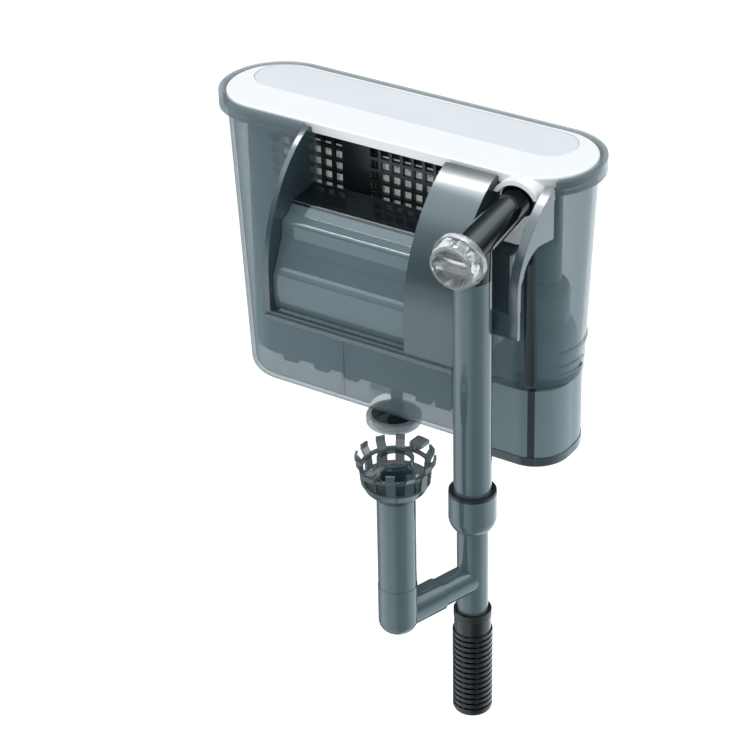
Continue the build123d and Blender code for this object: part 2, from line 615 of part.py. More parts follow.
pipe_r, pipe_bore_r = 7.3, 5.6
pipe_top = below_rim(9.0)
socket_start, socket_end = -22.0, -10.0
rail_low, rail_high = below_rim(37.4), below_rim(7)
with BuildPart() as suction_pipe:
    rod(pump_x, pump_y, cover_steps[0][1], pipe_top, pipe_r)
    along(arm_plane, socket_start - 1, socket_end, 7.0)
    # ribbed rail that keys the pipe in the bay
    block((76, 20.5, rail_low), (85.5, 22.5, rail_high))
    block((76, 20.5, rail_low), (78, 30, rail_high))
    for x in (77.5, 80.8, 84.1):
        rod(x, 20.5, rail_low, rail_high, 1.5)
    rod(pump_x, pump_y, cover_steps[0][1] - 1, pipe_top - 2, pipe_bore_r, mode=Mode.SUBTRACT)
    along(arm_plane, socket_start - 5, socket_end + 1, arm_bore_r, mode=Mode.SUBTRACT)
    along(arm_plane, arm_rear - 0.3, socket_end + 1, arm_spigot_r + 0.05, mode=Mode.SUBTRACT)
save(suction_pipe, "suction_pipe")

impeller_low, impeller_high = bay_z + 5.2, bay_z + 12.5
vane_r = 11.6
vanes = 6
with BuildPart() as impeller:
    rod(pump_x, pump_y, impeller_low, impeller_low + 1.4, vane_r)
    rod(pump_x, pump_y, impeller_low, impeller_high + 1, 3.4)
    with Locations((pump_x, pump_y, (impeller_low + impeller_high) / 2)):
        for k in range(vanes):
            with Locations(Rotation(0, 0, 360 / vanes * k)):
                with Locations((vane_r / 2 + 0.5, 0, 0)):
                    Box(vane_r - 1.2, 1.3, impeller_high - impeller_low)
    rod(pump_x, pump_y, impeller_low - 1, impeller_high + 2, shaft_r + fit, mode=Mode.SUBTRACT)
save(impeller, "impeller")

magnet_low, magnet_r = bay_z - 29.0, 7.2
with BuildPart() as rotor_magnet:
    rod(pump_x, pump_y, magnet_low, impeller_low, magnet_r)
    rod(pump_x, pump_y, magnet_low - 1, impeller_low + 1, shaft_r + fit, mode=Mode.SUBTRACT)
save(rotor_magnet, "rotor_magnet")

shaft_low = bay_z - 32.0
with BuildPart() as rotor_shaft:
    rod(pump_x, pump_y, shaft_low, bush_z + 2.6, shaft_r)
save(rotor_shaft, "rotor_shaft")

with BuildPart() as lower_bush:
    rod(pump_x, pump_y, shaft_low - 0.5, magnet_low - 0.4, 5.0)
    rod(pump_x, pump_y, shaft_low, magnet_low + 1, shaft_r, mode=Mode.SUBTRACT)
save(lower_bush, "lower_bush")

well_bore_r, well_r = 7.7, 9.0
motor_top = bay_z - gap
collar_high = bay_z + bay_floor + 1.6
with BuildPart() as rotor_well:
    rod(pump_x, pump_y, shaft_low - 2.0, collar_high, well_r)
    rod(pump_x, pump_y, magnet_low - 0.4, collar_high + 1, well_bore_r, mode=Mode.SUBTRACT)
    rod(pump_x, pump_y, shaft_low - 0.5, magnet_low, 5.0, mode=Mode.SUBTRACT)
save(rotor_well, "rotor_well")

# ---------------------------------------------------------------- motor pod
pod_left, pod_mid_x, pod_r = 43.5, 66.5, 23.5
pod_seam, pod_low = below_rim(145.8), below_rim(151)
pod_corner_r = 18.0                # front right corner, a little squarer than the rear one
neck_r = pump_hole_r - 0.35


def pod_outline(inset):
    """D-shaped plan: flat front and back, round right end."""
    left, right = pod_left + inset, pod_mid_x + pod_r - inset
    front, rear = case_mid_y - pod_r + inset, case_mid_y + pod_r - inset
    corner_x, corner_y = pod_mid_x + pod_r - pod_corner_r, case_mid_y - pod_r + pod_corner_r
    slant = sin(radians(45))
    corner_r, rear_r = pod_corner_r - inset, pod_r - inset
    with BuildLine() as edge:
        Polyline((pod_mid_x, rear), (left, rear), (left, front), (corner_x, front))
        ThreePointArc((corner_x, front), (corner_x + corner_r * slant, corner_y - corner_r * slant), (right, corner_y))
        Line((right, corner_y), (right, case_mid_y))
        ThreePointArc((right, case_mid_y), (pod_mid_x + rear_r * slant, case_mid_y + rear_r * slant), (pod_mid_x, rear))
    make_face(edge.edges())


with BuildPart() as motor_housing:
    with BuildSketch(Plane.XY.offset(pod_seam)):
        pod_outline(0)
    extrude(amount=motor_top - pod_seam)
    fillet(motor_housing.edges().filter_by(Axis.Z).sort_by(Axis.X)[:2], 4)
    with BuildSketch(Plane.XY.offset(pod_seam - 1)):
        pod_outline(wall)
    extrude(amount=motor_top - pod_seam - wall + 1, mode=Mode.SUBTRACT)
    rod(pump_x, pump_y, motor_top - 1, collar_high, neck_r)
    rod(pump_x, pump_y, motor_top - 4, collar_high + 1, well_r, mode=Mode.SUBTRACT)
    # groove for the seal
    rod(pump_x, pump_y, bay_z + 0.1, bay_z + 1.9, neck_r + 1, mode=Mode.SUBTRACT)
    rod(pump_x, pump_y, bay_z - 0.3, bay_z + 2.5, neck_r - 1.2)
    rod(pump_x, pump_y, motor_top - 4, collar_high + 1, well_r, mode=Mode.SUBTRACT)
    with Locations((pod_mid_x, case_mid_y + pod_r, below_rim(128))):
        with Locations(Rotation(90, 0, 0)):
            Cylinder(4.0, 12, mode=Mode.SUBTRACT)
save(motor_housing, "motor_housing")

with BuildPart() as motor_seal:
    rod(pump_x, pump_y, bay_z + 0.2, bay_z + 1.8, neck_r + 0.2)
    rod(pump_x, pump_y, bay_z, bay_z + 2, neck_r - 1.2, mode=Mode.SUBTRACT)
save(motor_seal, "motor_seal")

with BuildPart() as motor_cap:
    with BuildSketch(Plane.XY.offset(pod_low)):
        pod_outline(-0.3)
    extrude(amount=pod_seam - pod_low)
    fillet(motor_cap.edges().filter_by(Axis.Z).sort_by(Axis.X)[:2], 4)
    fillet(motor_cap.faces().sort_by(Axis.Z)[0].edges(), 1.5)
    with BuildSketch(Plane.XY.offset(pod_seam - 4)):
        pod_outline(wall)
    extrude(amount=5, mode=Mode.SUBTRACT)
save(motor_cap, "motor_cap")

core_low, core_high = bay_z - 27, bay_z - 11
with BuildPart() as stator_core:
    block((47.5, 18, core_low), (83.6, 42, core_high))
    rod(pump_x, pump_y, core_low - 1, core_high + 1, well_r, mode=Mode.SUBTRACT)
    block((54, 21, core_low - 1), (62, 39, core_high + 1), mode=Mode.SUBTRACT)
save(stator_core, "stator_core")

with BuildPart() as stator_coil:
    block((46.0, 21.4, core_low - 5), (61.4, 38.6, core_high + 5))
    fillet(stator_coil.edges().filter_by(Axis.Y), 1.2)
    block((47.5, 20, core_low), (54, 40, core_high), mode=Mode.SUBTRACT)
save(stator_coil, "stator_coil")

gland_plane = Plane(origin=(pod_mid_x, case_mid_y + pod_r, below_rim(128)), z_dir=(0, 1, 0))
with BuildPart() as cable_gland:
    along(gland_plane, -wall - 1.5, 0, 4.0)
    along(gland_plane, 0, 1.8, 5.6)
    along(gland_plane, 1.8, 10, 4.2, 3.3)
    along(gland_plane, -5, 11, 2.2, mode=Mode.SUBTRACT)
save(cable_gland, "cable_gland")

# ---------------------------------------------------------------- levelling wheel
wheel_x, wheel_y = pivot_x, 14.5        # the pin sits off centre, so turning sets the tilt
wheel_r = 13.5
wheel_top, wheel_low = floor_z - gap, floor_z - 5.4
with BuildPart() as levelling_wheel:
    rod(wheel_x, wheel_y, wheel_low, wheel_top, wheel_r - 2.6)
    rod(wheel_x, wheel_y, wheel_low - 1, wheel_low + 1.2, wheel_r - 4.6, mode=Mode.SUBTRACT)
    rod(pivot_x, pivot_y, wheel_low - 1, wheel_top + 1, pin_r + fit, mode=Mode.SUBTRACT)
save(levelling_wheel, "levelling_wheel")

with BuildPart() as levelling_tread:
    rod(wheel_x, wheel_y, wheel_low, wheel_top, wheel_r)
    fillet(levelling_tread.faces().filter_by(GeomType.PLANE).edges(), 1.2)
    rod(wheel_x, wheel_y, wheel_low - 1, wheel_top + 1, wheel_r - 2.6, mode=Mode.SUBTRACT)
save(levelling_tread, "levelling_tread")

with BuildPart() as levelling_pin:
    rod(pivot_x, pivot_y, wheel_low - 1.6, boss_top - 3.2, pin_r)
    rod(pivot_x, pivot_y, wheel_low - 1.6, wheel_low - gap, 5.0)
    block((pivot_x - 4, pivot_y - 0.5, wheel_low - 2), (pivot_x + 4, pivot_y + 0.5, wheel_low - 0.9), mode=Mode.SUBTRACT)
save(levelling_pin, "levelling_pin")
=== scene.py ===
import math

import bmesh
import bpy
import numpy as np
from mathutils import Matrix, Vector
from mathutils.bvhtree import BVHTree

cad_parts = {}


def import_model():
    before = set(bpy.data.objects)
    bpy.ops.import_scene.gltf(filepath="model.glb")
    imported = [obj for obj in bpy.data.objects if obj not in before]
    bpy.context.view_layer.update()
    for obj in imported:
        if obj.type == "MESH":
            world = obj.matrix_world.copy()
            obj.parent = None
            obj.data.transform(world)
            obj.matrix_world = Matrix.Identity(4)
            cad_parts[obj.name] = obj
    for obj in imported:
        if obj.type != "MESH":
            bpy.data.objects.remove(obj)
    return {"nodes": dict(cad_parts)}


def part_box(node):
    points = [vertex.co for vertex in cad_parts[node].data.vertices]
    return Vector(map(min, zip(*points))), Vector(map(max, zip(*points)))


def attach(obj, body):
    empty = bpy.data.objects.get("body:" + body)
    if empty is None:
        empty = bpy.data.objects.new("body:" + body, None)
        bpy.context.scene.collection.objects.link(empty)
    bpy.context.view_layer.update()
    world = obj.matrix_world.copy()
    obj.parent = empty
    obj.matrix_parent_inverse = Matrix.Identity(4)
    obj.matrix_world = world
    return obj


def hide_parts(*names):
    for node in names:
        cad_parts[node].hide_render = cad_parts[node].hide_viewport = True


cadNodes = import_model()["nodes"]
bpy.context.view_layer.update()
mm = 0.001


# view: a long lens, turned and raised, as plain numbers in metres and degrees
cameraLook = {
    "azimuth": 33.42,
    "elevation": 30.57,
    "roll": -1.264,
    "distance": 1.21083,
    "target": (0.01797, -0.02928, -0.06493),
    "lens": 127.07,
}


def makeCamera(look):
    # the camera stands along its own back axis from the target
    turn, rise, roll = (math.radians(look[k]) for k in ("azimuth", "elevation", "roll"))
    back = Vector((math.sin(turn) * math.cos(rise), -math.cos(turn) * math.cos(rise), math.sin(rise)))
    right = Vector((math.cos(turn), math.sin(turn), 0.0))
    up = back.cross(right)
    side = right * math.cos(roll) + up * math.sin(roll)
    top = up * math.cos(roll) - right * math.sin(roll)
    camera = bpy.data.objects.new("studioCamera", bpy.data.cameras.new("studioCamera"))
    camera.data.lens = look["lens"]
    camera.data.sensor_width = 36.0
    camera.data.clip_end = 50.0
    place = Vector(look["target"]) + back * look["distance"]
    camera.matrix_world = Matrix(((side.x, top.x, back.x, place.x), (side.y, top.y, back.y, place.y),
                                  (side.z, top.z, back.z, place.z), (0, 0, 0, 1)))
    bpy.context.scene.collection.objects.link(camera)
    bpy.context.scene.camera = camera


makeCamera(cameraLook)
print("camera placed")


# light: an overhead softbox, boxes at the sides and front, a glint that only reflections see,
# and a room that reflections see with more contrast
lightTarget = Vector((0.0, 0.0, -0.05))
lightLook = {
    "overheadBox": {"place": (-0.25, -0.25, 1.5), "size": (1.3, 0.9), "power": 14.0,
                    "seen": ("diffuse", "glossy")},
    "leftBox": {"place": (-1.5, -0.5, 0.5), "size": (0.4, 1.5), "power": 9.0, "seen": ("diffuse", "glossy")},
    "rightBox": {"place": (1.4, 0.9, 0.4), "size": (0.3, 1.5), "power": 6.0, "seen": ("diffuse", "glossy")},
    "frontBox": {"place": (0.5, -1.6, 0.9), "size": (0.9, 0.5), "power": 5.0, "seen": ("diffuse",)},
    "crestGlint": {"place": (-0.71, -0.12, 1.3), "size": (0.25, 0.9), "power": 9.0, "seen": ("glossy",)},
}
roomLook = {
    "backdrop": (0.94, 0.95, 0.955),
    "fill": (0.62, 0.66, 0.68),
    # reflections: height of the direction, from straight down to straight up
    "heights": ((0.0, 1.1), (0.30, 1.5), (0.44, 0.75), (0.50, 0.10), (0.60, 0.12), (0.72, 0.7), (0.85, 2.4),
                (1.0, 2.6)),
    # reflections: turn about the vertical, from the back round by the left to the back again
    "turns": ((0.0, 1.5), (0.10, 0.25), (0.22, 0.30), (0.33, 1.25), (0.50, 0.9), (0.62, 0.22), (0.70, 0.30),
              (0.84, 1.3), (1.0, 1.5)),
    "tint": (0.84, 0.95, 1.0),
}


def makeLights(look):
    for name, box in look.items():
        light = bpy.data.lights.new(name, "AREA")
        light.shape = "RECTANGLE"
        light.size, light.size_y = box["size"]
        light.energy = box["power"]
        lamp = bpy.data.objects.new(name, light)
        lamp.location = box["place"]
        aim = lightTarget - Vector(box["place"])
        lamp.rotation_euler = aim.to_track_quat("-Z", "Y").to_euler()
        lamp.visible_diffuse = "diffuse" in box["seen"]
        lamp.visible_glossy = "glossy" in box["seen"]
        bpy.context.scene.collection.objects.link(lamp)


# small helpers for shader trees
def addNode(tree, kind, **inputs):
    node = tree.nodes.new("ShaderNode" + kind)
    for name, value in inputs.items():
        node.inputs[name].default_value = value
    return node


def makeGroup(name, numbers, outputs, fill):
    # numbers are the group's own settings, fill builds its inside and returns the output sockets
    group = bpy.data.node_groups.new(name, "ShaderNodeTree")
    group.interface.new_socket("Vector", in_out="INPUT", socket_type="NodeSocketVector")
    for label, value in numbers.items():
        socket = group.interface.new_socket(label, in_out="INPUT", socket_type="NodeSocketFloat")
        socket.default_value = value
    for label, kind in outputs.items():
        group.interface.new_socket(label, in_out="OUTPUT", socket_type="NodeSocket" + kind)
    entry, leave = group.nodes.new("NodeGroupInput"), group.nodes.new("NodeGroupOutput")
    for label, socket in fill(group, entry).items():
        group.links.new(socket, leave.inputs[label])
    return group


def useGroup(tree, group, vector, **numbers):
    node = tree.nodes.new("ShaderNodeGroup")
    node.node_tree = group
    tree.links.new(vector, node.inputs["Vector"])
    for label, value in numbers.items():
        node.inputs[label].default_value = value
    return node


# an input takes a socket, a colour of three numbers, or one number
def feed(tree, socket, value):
    if isinstance(value, bpy.types.NodeSocket):
        tree.links.new(value, socket)
    elif isinstance(value, tuple):
        socket.default_value = (*value, 1)
    else:
        socket.default_value = value


def useMath(tree, operation, *values):
    node = tree.nodes.new("ShaderNodeMath")
    node.operation = operation
    for socket, value in zip(node.inputs, values):
        feed(tree, socket, value)
    return node.outputs[0]


# inputs 0, 6 and 7 of a Mix node are its factor and its two colours, and output 2 is its colour
def mixColours(tree, share, first, second, blend="MIX"):
    node = tree.nodes.new("ShaderNodeMix")
    node.data_type = "RGBA"
    node.blend_type = blend
    for number, value in ((0, share), (6, first), (7, second)):
        feed(tree, node.inputs[number], value)
    return node.outputs[2]


def makeRoom(look):
    world = bpy.data.worlds.new("studioRoom")
    world.use_nodes = True
    bpy.context.scene.world = world
    tree = world.node_tree
    link = tree.links.new
    shader = tree.nodes["Background"]
    coords = tree.nodes.new("ShaderNodeTexCoord")
    split = tree.nodes.new("ShaderNodeSeparateXYZ")
    link(coords.outputs["Generated"], split.inputs[0])

    def ramp(source, low, high, stops):
        span = tree.nodes.new("ShaderNodeMapRange")
        span.inputs["From Min"].default_value = low
        span.inputs["From Max"].default_value = high
        link(source, span.inputs["Value"])
        band = tree.nodes.new("ShaderNodeValToRGB")
        band.color_ramp.interpolation = "EASE"
        marks = band.color_ramp.elements
        for i, (place, value) in enumerate(stops):
            mark = marks[i] if i < 2 else marks.new(place)
            mark.position = place
            mark.color = (value, value, value, 1)
        link(span.outputs[0], band.inputs[0])
        return band.outputs[0]

    turn = useMath(tree, "ARCTAN2", split.outputs["X"], useMath(tree, "MULTIPLY", split.outputs["Y"], -1.0))
    heights = ramp(split.outputs["Z"], -1.0, 1.0, look["heights"])
    turns = ramp(turn, -math.pi, math.pi, look["turns"])
    shine = mixColours(tree, 1.0, heights, turns, "MULTIPLY")
    tinted = mixColours(tree, 1.0, shine, look["tint"], "MULTIPLY")
    # the camera sees the backdrop, glossy rays the ramps, and all other rays the plain fill
    rays = tree.nodes.new("ShaderNodeLightPath")
    unseen = mixColours(tree, rays.outputs["Is Glossy Ray"], look["fill"], tinted)
    link(mixColours(tree, rays.outputs["Is Camera Ray"], unseen, look["backdrop"]), shader.inputs["Color"])


makeLights(lightLook)
makeRoom(roomLook)
studio = bpy.context.scene
studio.view_settings.view_transform = "Standard"
studio.cycles.transparent_max_bounces = 40
studio.cycles.max_bounces = 14
studio.cycles.transmission_bounces = 12
studio.cycles.caustics_reflective = False
studio.cycles.caustics_refractive = False
studio.cycles.sample_clamp_indirect = 3.0
print("studio lit")


# the fine scale is for orange peel, the broad one for flow marks, and bumpHeight is in metres
grainLook = {"broad": 35.0, "fine": 900.0, "broadShare": 0.35, "bump": 0.02, "bumpHeight": 0.00003}


# the height is the fine noise plus a share of the broad one, which alone sets the shade and the roughness
def fillMouldGrain(group, entry):
    broad = addNode(group, "TexNoise", Scale=grainLook["broad"], Detail=3.0)
    fine = addNode(group, "TexNoise", Scale=grainLook["fine"], Detail=2.0)
    for noise in (broad, fine):
        group.links.new(entry.outputs["Vector"], noise.inputs["Vector"])
    height = useMath(group, "MULTIPLY_ADD", broad.outputs["Fac"], grainLook["broadShare"],
                     fine.outputs["Fac"])
    rough = group.nodes.new("ShaderNodeMapRange")
    group.links.new(broad.outputs["Fac"], rough.inputs["Value"])
    group.links.new(entry.outputs["Rough Low"], rough.inputs["To Min"])
    group.links.new(entry.outputs["Rough High"], rough.inputs["To Max"])
    return {"Shade": broad.outputs["Fac"], "Roughness": rough.outputs[0], "Height": height}


mouldGrain = makeGroup("mouldGrain", {"Rough Low": 0.1, "Rough High": 0.2},
                       {"Shade": "Float", "Roughness": "Float", "Height": "Float"}, fillMouldGrain)


# a mask that is one inside a box of Object coordinates and falls to zero over the soft distance outside it
def fillZone(group, entry):
    split = group.nodes.new("ShaderNodeSeparateXYZ")
    group.links.new(entry.outputs["Vector"], split.inputs[0])
    mask = 1.0
    for axis in "XYZ":
        place, low, high = split.outputs[axis], entry.outputs["Low " + axis], entry.outputs["High " + axis]
        for larger, smaller in ((low, place), (place, high)):
            fade = addNode(group, "MapRange", **{"From Min": 0.0, "To Min": 1.0, "To Max": 0.0})
            group.links.new(useMath(group, "SUBTRACT", larger, smaller), fade.inputs["Value"])
            group.links.new(entry.outputs["Soft"], fade.inputs["From Max"])
            mask = useMath(group, "MULTIPLY", mask, fade.outputs[0])
    return {"Mask": mask}


zoneSoft = 0.0004
zoneLimits = {edge + " " + axis: value for axis in "XYZ" for edge, value in (("Low", -1.0), ("High", 1.0))}
zoneMask = makeGroup("zoneMask", {**zoneLimits, "Soft": zoneSoft}, {"Mask": "Float"}, fillZone)


# a zone puts its own colour, and its own alpha where it has one, over what is there
def addZone(tree, place, zone, colour, alpha):
    limits = {edge + " " + axis: zone[edge.lower()][i] * mm for i, axis in enumerate("XYZ")
              for edge in ("Low", "High")}
    mask = useGroup(tree, zoneMask, place, Soft=zone.get("soft", zoneSoft), **limits).outputs["Mask"]
    colour = mixColours(tree, mask, colour, zone["colour"])
    if "alpha" in zone:
        thick = tree.nodes.new("ShaderNodeMix")
        for number, value in ((0, mask), (2, alpha), (3, zone["alpha"])):
            feed(tree, thick.inputs[number], value)
        alpha = thick.outputs[0]
    return colour, alpha


# painted shade darkens the outline over rimStart to rimEnd of the facing value, and edgeRadius is in metres
alphaBlend = 0.35
rimStart, rimEnd = 0.55, 0.95
edgeRadius = 0.00025


# colour runs between light and dark with the broad noise, zones may take their own colour and alpha,
# alpha rises from face-on to edge-on, and painted shade may darken the colour towards the outline
def mouldedPlastic(name, look):
    material = bpy.data.materials.new(name)
    material.use_nodes = True
    tree = material.node_tree
    shader = tree.nodes["Principled BSDF"]
    place = tree.nodes.new("ShaderNodeTexCoord").outputs["Object"]
    grain = useGroup(tree, mouldGrain, place, **dict(zip(("Rough Low", "Rough High"), look["rough"])))
    colour, alpha = mixColours(tree, grain.outputs["Shade"], look["dark"], look["light"]), 1.0
    if "alpha" in look:
        facing = addNode(tree, "LayerWeight", Blend=alphaBlend)
        span = addNode(tree, "MapRange", **dict(zip(("To Min", "To Max"), look["alpha"])))
        tree.links.new(facing.outputs["Facing"], span.inputs["Value"])
        alpha = span.outputs[0]
    for zone in look.get("zones", ()):
        colour, alpha = addZone(tree, place, zone, colour, alpha)
    # painted shade: the colour darkens towards the outline
    if "rimShade" in look:
        glance = addNode(tree, "LayerWeight", Blend=0.5)
        turned = addNode(tree, "MapRange", **{"From Min": rimStart, "From Max": rimEnd})
        turned.interpolation_type = "SMOOTHSTEP"
        tree.links.new(glance.outputs["Facing"], turned.inputs["Value"])
        colour = mixColours(tree, turned.outputs[0], colour, look["rimShade"])
    # the Bevel node rounds edges in shading only
    soft = addNode(tree, "Bevel", Radius=edgeRadius)
    soft.samples = 4
    bump = addNode(tree, "Bump", Strength=look.get("bump", grainLook["bump"]),
                   Distance=grainLook["bumpHeight"])
    tree.links.new(soft.outputs["Normal"], bump.inputs["Normal"])
    tree.links.new(grain.outputs["Height"], bump.inputs["Height"])
    feeds = {"Base Color": colour, "Roughness": grain.outputs["Roughness"], "Normal": bump.outputs["Normal"],
             "Alpha": alpha, "IOR": look.get("ior", 1.5), "Metallic": look.get("metal", 0.0),
             "Transmission Weight": look.get("glass", 0.0)}
    for label, value in feeds.items():
        feed(tree, shader.inputs[label], value)
    return material


# the zones' corners are in millimetres
# painted reflection: a near-black vertical strip on the case, where the dark intake tube is reflected
casePaintedReflection = {"low": (75.6, 2.0, -72.0), "high": (79.4, 12.0, 10.0), "colour": (0.006, 0.010, 0.012),
            "alpha": 0.92}
# painted reflection: the same dark strip carried down the motor pod
podPaintedReflection = {"low": (77.6, 2.0, -116.0), "high": (80.4, 12.0, -70.0), "colour": (0.018, 0.026, 0.029)}
# painted shade: a darker, more solid band over the case rim
rimBandPaintedShade = {"low": (-110, -10, 27.8), "high": (110, 70, 34.6), "colour": (0.075, 0.115, 0.13), "alpha": 0.62}
# painted shade: the media basket is painted near black behind the window, where the inside lies in shade
windowPaintedShade = {"low": (-40, 5, -2.0), "high": (38, 18, 40), "colour": (0.006, 0.009, 0.010), "soft": 0.001}
plastics = {
    "smokeCase": {"dark": (0.105, 0.165, 0.190), "light": (0.125, 0.190, 0.217), "rough": (0.05, 0.09),
                  "alpha": (0.24, 0.80), "ior": 1.5, "zones": (rimBandPaintedShade, casePaintedReflection),
                  "rimShade": (0.045, 0.075, 0.086)},
    "smokeHood": {"dark": (0.036, 0.058, 0.067), "light": (0.048, 0.075, 0.085), "rough": (0.14, 0.19),
                  "alpha": (0.88, 1.0), "ior": 1.75, "rimShade": (0.010, 0.016, 0.018)},
    "smokeSpill": {"dark": (0.085, 0.125, 0.140), "light": (0.105, 0.150, 0.167), "rough": (0.07, 0.11),
                   "alpha": (0.84, 0.98), "ior": 1.6, "rimShade": (0.012, 0.020, 0.023)},
    # painted shade: the ledge behind the spillway's crest is the spillway's plastic painted near black
    "ledgePaintedShade": {"dark": (0.004, 0.007, 0.009), "light": (0.008, 0.012, 0.015), "rough": (0.05, 0.09),
                   "ior": 1.5},
    "smokeTube": {"dark": (0.064, 0.100, 0.111), "light": (0.078, 0.119, 0.131), "rough": (0.06, 0.09),
                  "alpha": (0.93, 1.0), "ior": 1.6, "rimShade": (0.010, 0.018, 0.021)},
    "smokeCup": {"dark": (0.030, 0.052, 0.059), "light": (0.042, 0.070, 0.079), "rough": (0.07, 0.11),
                 "alpha": (0.72, 0.98), "ior": 1.6, "rimShade": (0.006, 0.010, 0.012)},
    "smokeInner": {"dark": (0.055, 0.080, 0.085), "light": (0.072, 0.100, 0.106), "rough": (0.2, 0.3),
                   "alpha": (0.88, 0.98), "zones": (windowPaintedShade,)},
    "smokePump": {"dark": (0.115, 0.160, 0.165), "light": (0.140, 0.190, 0.197), "rough": (0.2, 0.3),
                  "alpha": (0.92, 1.0)},
    "darkInner": {"dark": (0.012, 0.018, 0.021), "light": (0.020, 0.028, 0.032), "rough": (0.15, 0.25),
                  "alpha": (0.8, 0.95)},
    "podGrey": {"dark": (0.120, 0.172, 0.186), "light": (0.138, 0.194, 0.208), "rough": (0.30, 0.38),
                "ior": 1.4, "zones": (podPaintedReflection,)},
    "podBase": {"dark": (0.030, 0.046, 0.052), "light": (0.040, 0.058, 0.065), "rough": (0.20, 0.28),
                "ior": 1.5, "zones": (podPaintedReflection,)},
    "gloss": {"dark": (0.003, 0.006, 0.007), "light": (0.006, 0.010, 0.012), "rough": (0.08, 0.12),
              "ior": 1.45},
    "matteBlack": {"dark": (0.006, 0.008, 0.010), "light": (0.014, 0.017, 0.020), "rough": (0.30, 0.42),
                   "bump": 0.1},
    "rubber": {"dark": (0.004, 0.004, 0.005), "light": (0.009, 0.009, 0.010), "rough": (0.35, 0.5),
               "bump": 0.2},
    "whiteLid": {"dark": (0.74, 0.755, 0.77), "light": (0.77, 0.785, 0.80), "rough": (0.22, 0.28)},
    "paleInset": {"dark": (0.60, 0.62, 0.65), "light": (0.63, 0.65, 0.68), "rough": (0.32, 0.40),
                  "bump": 0.06},
    "clearKnob": {"dark": (0.86, 0.90, 0.91), "light": (0.93, 0.96, 0.97), "rough": (0.05, 0.10),
                  "glass": 0.85, "ior": 1.45},
    "clearRing": {"dark": (0.20, 0.25, 0.265), "light": (0.27, 0.325, 0.34), "rough": (0.10, 0.2),
                  "alpha": (0.55, 0.9)},
    "steel": {"dark": (0.42, 0.42, 0.44), "light": (0.60, 0.60, 0.62), "rough": (0.25, 0.4), "metal": 1.0},
    "copper": {"dark": (0.36, 0.13, 0.05), "light": (0.52, 0.22, 0.09), "rough": (0.25, 0.4), "metal": 0.8},
    "magnet": {"dark": (0.05, 0.05, 0.055), "light": (0.09, 0.09, 0.095), "rough": (0.5, 0.65),
               "bump": 0.3},
    "thread": {"dark": (0.05, 0.05, 0.05), "light": (0.12, 0.12, 0.12), "rough": (0.7, 0.8), "bump": 0.3},
}
finishes = {name: mouldedPlastic(name, look) for name, look in plastics.items()}
print("finishes made:", len(finishes))

nodeFinish = {
    "smokeCase": ["filter_case"],
    "smokeHood": ["outlet_hood"],
    "smokeCup": ["skimmer_basket", "skimmer_ring"],
    "smokeSpill": ["spillway"],
    "smokeTube": ["intake_tube", "telescope_collar", "telescope_tube", "skimmer_elbow", "skimmer_tube"],
    "smokeInner": ["media_basket"],
    "smokePump": ["impeller_cover", "suction_pipe"],
    "darkInner": ["levelling_wheel", "levelling_pin"],
    "podGrey": ["motor_housing"],
    "podBase": ["motor_cap"],
    "gloss": ["intake_arm", "centre_guide", "strainer", "strainer_cap"],
    "matteBlack": ["cartridge_frame_left", "cartridge_frame_right", "cartridge_bar_left",
                   "cartridge_bar_right", "rotor_well", "impeller"],
    "rubber": ["arm_seal", "collar_seal", "strainer_seal", "motor_seal", "cable_gland", "upper_bush",
               "lower_bush"],
    "whiteLid": ["lid", "filter_pad_left", "filter_pad_right"],
    "paleInset": ["lid_panel"],
    "clearKnob": ["flow_knob", "flow_valve", "valve_stem"],
    "clearRing": ["levelling_tread"],
    "steel": ["rotor_shaft", "stator_core"],
    "copper": ["stator_coil"],
    "magnet": ["rotor_magnet"],
}
for finish, members in nodeFinish.items():
    for member in members:
        mesh = cadNodes[member].data
        mesh.materials.clear()
        mesh.materials.append(finishes[finish])


# helpers for new meshes
def makePiece(name, points, faces, material, body):
    mesh = bpy.data.meshes.new(name)
    mesh.from_pydata(points.tolist(), [], faces.tolist())
    mesh.validate()
    mesh.materials.append(material)
    mesh.polygons.foreach_set("use_smooth", np.ones(len(mesh.polygons), bool))
    piece = bpy.data.objects.new(name, mesh)
    bpy.context.scene.collection.objects.link(piece)
    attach(piece, body)
    return piece


# quads over a grid of rows by columns, numbered row after row, whose last row joins its first
def wrappedFaces(rows, columns):
    down = np.arange(rows)[:, None]
    across = np.arange(columns - 1)[None, :]
    corner = down * columns + across
    below = ((down + 1) % rows) * columns + across
    return np.stack([corner, corner + 1, below + 1, below], -1).reshape(-1, 4)


# spillway: a stepped profile with rounded crests, carried from cheek to cheek
# its points are (y, z) in millimetres
spillwayLook = {
    "profile": ((-12.4, 2.69), (-17.4, -1.3), (-21.9, -3.4), (-22.3, -10.1), (-24.2, -14.1), (-28.4, -23.2),
                (-30.2, -26.1), (-30.6, -36.3), (-29.6, -43.4)),
    "rounds": (0.0, 1.1, 1.2, 1.4, 0.9, 1.6, 1.0, 2.0, 0.0),
    "ledge": ((4.9, 4.28), (-10.9, 2.83), (-12.4, 2.69), (-13.6, 1.75)),
    "ledgeRounds": (0.0, 0.0, 1.1, 0.0),
    "thickness": 1.3,
    "alongStep": 0.6,
    "acrossStep": 0.8,
    # the panel's left side slants from its first to its second value, and the third is its right side
    "panel": {"sides": (-31.6, -29.6, 36.0), "heights": (-23.4, -14.4), "depth": 0.55, "soft": 0.7},
}


